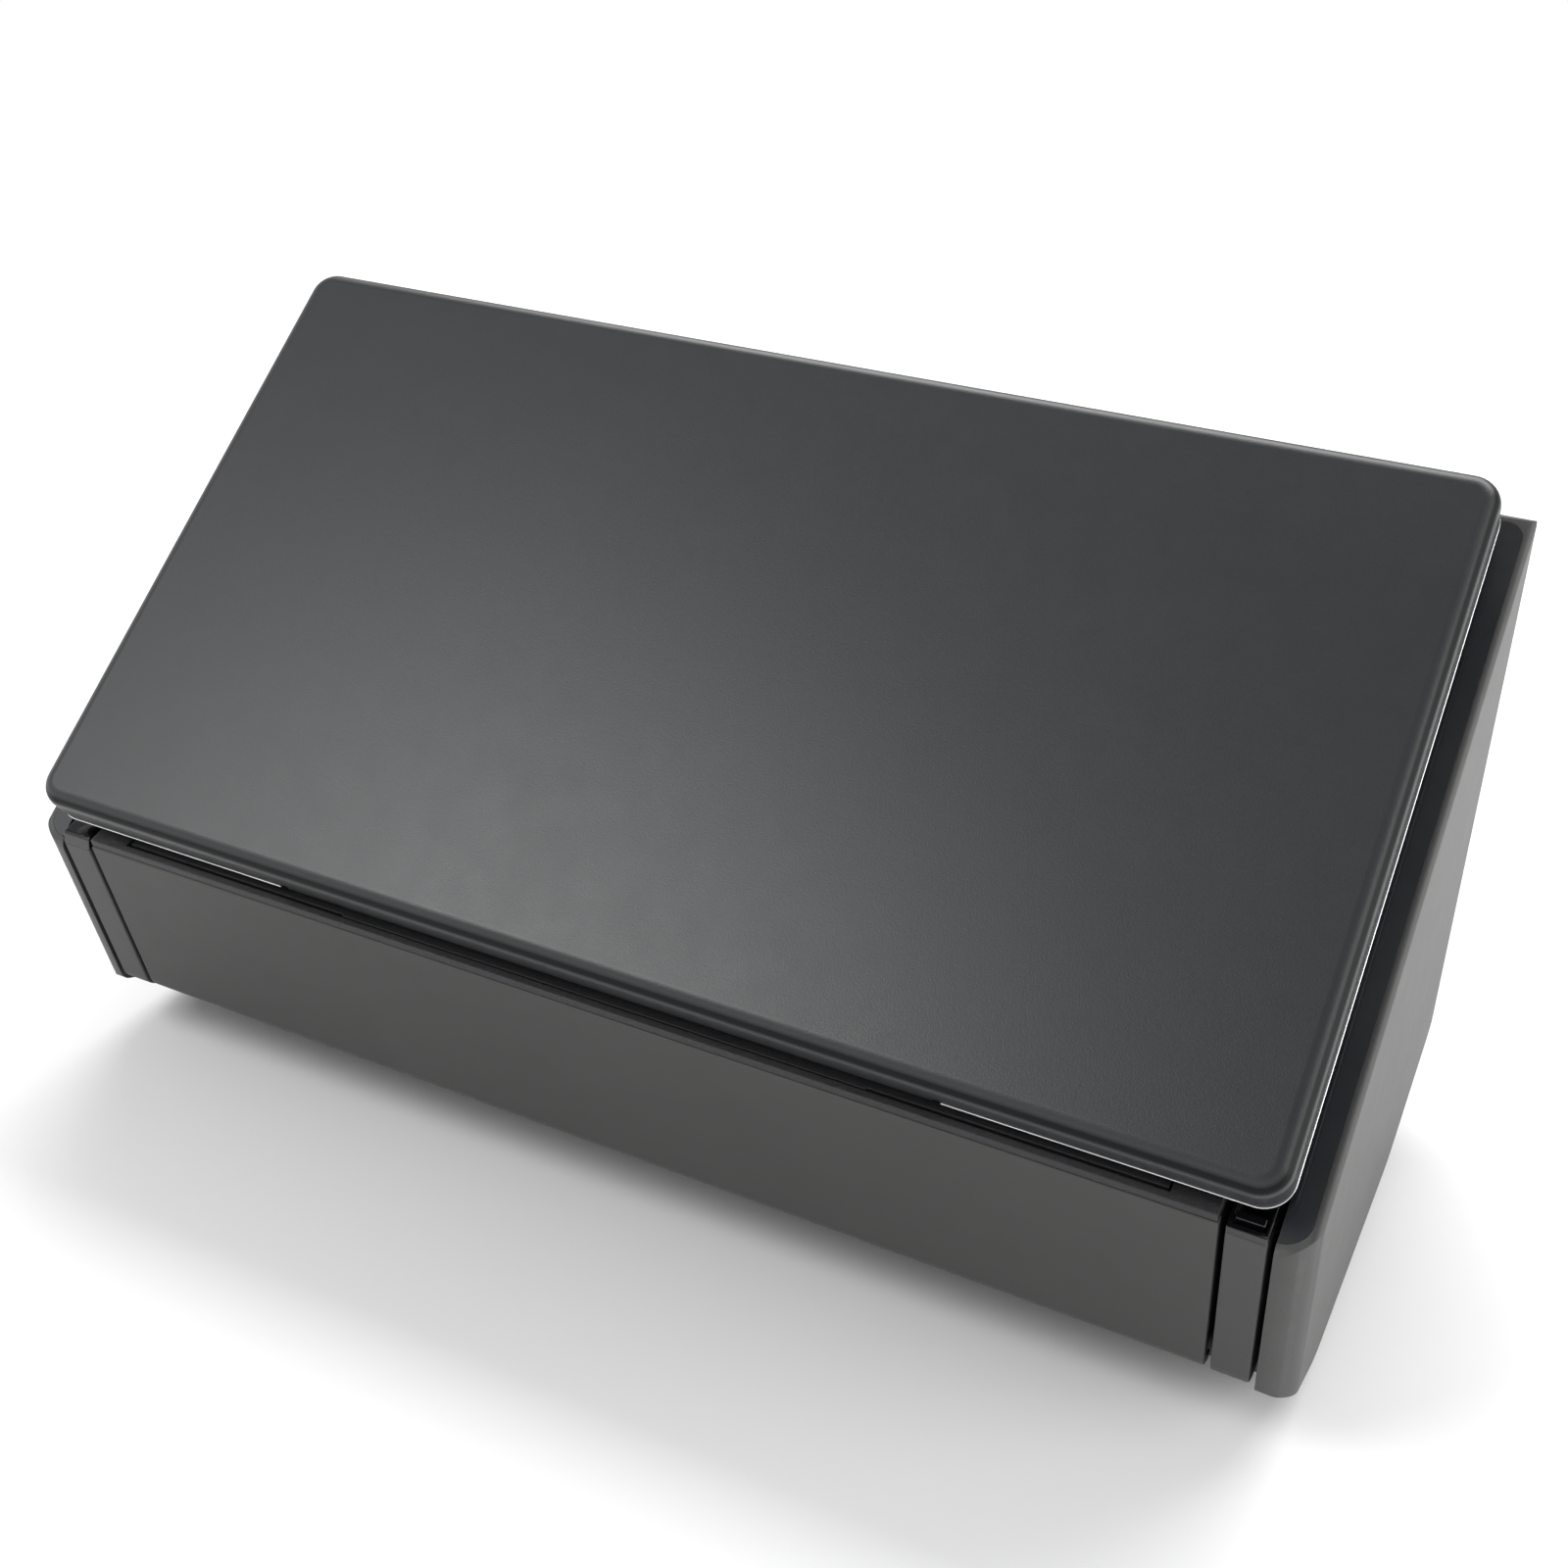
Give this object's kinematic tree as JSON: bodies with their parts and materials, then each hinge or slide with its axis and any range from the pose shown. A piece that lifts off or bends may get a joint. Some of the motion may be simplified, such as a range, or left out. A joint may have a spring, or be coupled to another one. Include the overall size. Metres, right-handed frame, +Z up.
{
  "type": "sheet fed document scanner",
  "caption": "Compact desktop sheet fed document scanner, closed: sloping lid that opens into the paper chute, fold-down front stacker with sliding stages, feed rollers and facing scan bars.",
  "frame": {"origin": "on the desk, under the middle of the bounding box", "axes": "+X to the machine's right, +Y to its rear, +Z up; the stacker and the paper exit face -Y"},
  "size_m": [0.288, 0.1562, 0.1679],
  "materials": {
    "casing": "fine grain, satin",
    "lid": "fine grain, satin",
    "trim": "bright silver",
    "inlay": "smooth dark",
    "gloss": "gloss black",
    "panel": "smooth matte warm grey",
    "textured": "coarse grain",
    "inner": "satin",
    "rubber": "matte",
    "tyre": "matte",
    "steel": "drawn",
    "natural": "natural acetal",
    "glass": "clear",
    "board": "solder mask",
    "button": "translucent"
  },
  "bodies": {
    "root": {"base_tray": "casing", "foot_pads": "rubber", "housing_screws": "steel", "side_cover_left": "casing", "side_cover_right": "casing", "side_inlay_left": "inlay", "side_inlay_right": "inlay", "rear_cover": "casing", "left_frame": "inner", "right_frame": "inner", "top_deck_left": "inner", "top_deck_right": "inner", "front_strip_left": "panel", "front_strip_right": "panel", "strip_cap_left": "gloss", "strip_cap_right": "gloss", "front_upper_cover": "inner", "upper_guide": "inner", "lower_guide": "inner", "lower_scan_unit": "inner", "upper_scan_unit": "inner", "lower_glass": "glass", "upper_glass": "glass", "shaft_bushes": "natural", "drive_motor": "steel", "main_board": "board", "data_port": "steel", "power_inlet": "inner"},
    "release": {"release_tab": "gloss"},
    "button": {"scan_button": "button"},
    "flag": {"paper_flag": "inner"},
    "feed_roller": {"feed_shaft": "steel", "feed_tyres": "tyre", "feed_gear": "natural"},
    "pick_roller": {"pick_shaft": "steel", "pick_tyres": "tyre", "pick_gear": "natural"},
    "eject_roller": {"eject_shaft": "steel", "eject_tyres": "tyre", "eject_gear": "natural"},
    "pick_idler": {"pick_idler_gear": "natural"},
    "eject_idler": {"eject_idler_gear": "natural"},
    "reduction": {"reduction_gear": "natural"},
    "motor_rotor": {"motor_pinion": "natural"},
    "brake_roller": {"brake_shaft": "steel", "brake_tyre": "tyre"},
    "feed_pinch": {"feed_pinch_roller": "natural"},
    "eject_pinch": {"eject_pinch_roller": "natural"},
    "lid": {"lid_shell": "lid", "lid_trim": "trim", "lid_inner_panel": "inner", "lid_hinge_pins": "steel"},
    "extension": {"chute_extension": "lid"},
    "left_guide": {"guide_left": "inner"},
    "right_guide": {"guide_right": "inner"},
    "guide_gear": {"guide_pinion": "natural"},
    "stacker": {"stacker_skin": "panel", "stacker_frame": "textured"},
    "stage_one": {"stacker_stage_one": "textured"},
    "stage_two": {"stacker_stage_two": "textured"}
  },
  "joints": [
    {"name": "lid_hinge", "type": "hinge", "parent": "root", "child": "lid", "pos_m": [0, 0.02701, 0.1607], "axis": [-1, 0, 0], "range_deg": [0, 155]},
    {"name": "extension_slide", "type": "slide", "parent": "lid", "child": "extension", "axis": [0, -0.7478, -0.6639], "range_m": [0, 0.054]},
    {"name": "guide_left_slide", "type": "slide", "parent": "lid", "child": "left_guide", "axis": [1, 0, 0], "range_m": [0, 0.066]},
    {"name": "guide_right_slide", "type": "slide", "parent": "lid", "child": "right_guide", "axis": [-1, 0, 0], "range_m": [-0.001, 0.067]},
    {"name": "guide_pinion_spin", "type": "hinge", "parent": "lid", "child": "guide_gear", "pos_m": [0, 0.00161, 0.14216], "axis": [0, -0.6639, 0.7478], "range_deg": [-560, 20]},
    {"name": "stacker_hinge", "type": "hinge", "parent": "root", "child": "stacker", "pos_m": [0, -0.05674, 0.02201], "axis": [1, 0, 0], "range_deg": [0, 76]},
    {"name": "stage_one_slide", "type": "slide", "parent": "stacker", "child": "stage_one", "axis": [0, -0.2924, 0.9563], "range_m": [-0.0005, 0.035]},
    {"name": "stage_two_slide", "type": "slide", "parent": "stage_one", "child": "stage_two", "axis": [0, -0.2924, 0.9563], "range_m": [-0.0005, 0.033]},
    {"name": "scan_button_press", "type": "slide", "parent": "root", "child": "button", "axis": [0, 0.6639, -0.7478], "range_m": [0, 0.001], "stiffness_N_per_m": 900, "springref_m": -0.0006},
    {"name": "release_tab_slide", "type": "slide", "parent": "root", "child": "release", "axis": [0, 0.9563, 0.2924], "range_m": [0, 0.0022], "stiffness_N_per_m": 400, "springref_m": -0.001},
    {"name": "paper_flag_swing", "type": "hinge", "parent": "root", "child": "flag", "pos_m": [0, -0.00408, 0.08039], "axis": [1, 0, 0], "range_deg": [0, 38], "stiffness_Nm_per_rad": 0.0006, "springref_deg": -11.46},
    {"name": "feed_spin", "type": "hinge", "parent": "root", "child": "feed_roller", "pos_m": [0, -0.01343, 0.06722], "axis": [1, 0, 0], "continuous": true},
    {"name": "brake_spin", "type": "hinge", "parent": "root", "child": "brake_roller", "pos_m": [0, -0.00627, 0.10819], "axis": [1, 0, 0], "continuous": true},
    {"name": "pick_spin", "type": "hinge", "parent": "root", "child": "pick_roller", "pos_m": [0, 0.00983, 0.09949], "axis": [1, 0, 0], "continuous": true},
    {"name": "eject_spin", "type": "hinge", "parent": "root", "child": "eject_roller", "pos_m": [0, -0.0411, 0.04266], "axis": [1, 0, 0], "continuous": true},
    {"name": "pick_idler_spin", "type": "hinge", "parent": "root", "child": "pick_idler", "pos_m": [0, -0.01131, 0.08812], "axis": [1, 0, 0], "continuous": true},
    {"name": "eject_idler_spin", "type": "hinge", "parent": "root", "child": "eject_idler", "pos_m": [0, -0.02764, 0.05461], "axis": [1, 0, 0], "continuous": true},
    {"name": "reduction_spin", "type": "hinge", "parent": "root", "child": "reduction", "pos_m": [0, 0.00753, 0.05361], "axis": [1, 0, 0], "continuous": true},
    {"name": "motor_spin", "type": "hinge", "parent": "root", "child": "motor_rotor", "pos_m": [0, 0.02845, 0.05544], "axis": [1, 0, 0], "continuous": true},
    {"name": "feed_pinch_spin", "type": "hinge", "parent": "root", "child": "feed_pinch", "pos_m": [0, -0.0216, 0.07642], "axis": [1, 0, 0], "continuous": true},
    {"name": "eject_pinch_spin", "type": "hinge", "parent": "root", "child": "eject_pinch", "pos_m": [0, -0.04927, 0.05186], "axis": [1, 0, 0], "continuous": true}
  ],
  "couplings": [
    {"joint": "guide_right_slide", "follows": "guide_left_slide", "ratio": 1},
    {"joint": "guide_pinion_spin", "follows": "guide_left_slide", "rad_per_m": -142.86},
    {"joint": "stage_one_slide", "follows": "stacker_hinge", "m_per_rad": 0.025632},
    {"joint": "stage_two_slide", "follows": "stacker_hinge", "m_per_rad": 0.024125},
    {"joint": "pick_spin", "follows": "feed_spin", "ratio": 0.76923},
    {"joint": "eject_spin", "follows": "feed_spin", "ratio": 1.1111},
    {"joint": "pick_idler_spin", "follows": "feed_spin", "ratio": -0.90909},
    {"joint": "eject_idler_spin", "follows": "feed_spin", "ratio": -1.1111},
    {"joint": "reduction_spin", "follows": "feed_spin", "ratio": -0.66667},
    {"joint": "motor_spin", "follows": "feed_spin", "ratio": 1.6667},
    {"joint": "feed_pinch_spin", "follows": "feed_spin", "ratio": -1.4},
    {"joint": "eject_pinch_spin", "follows": "feed_spin", "ratio": -1.5556}
  ]
}
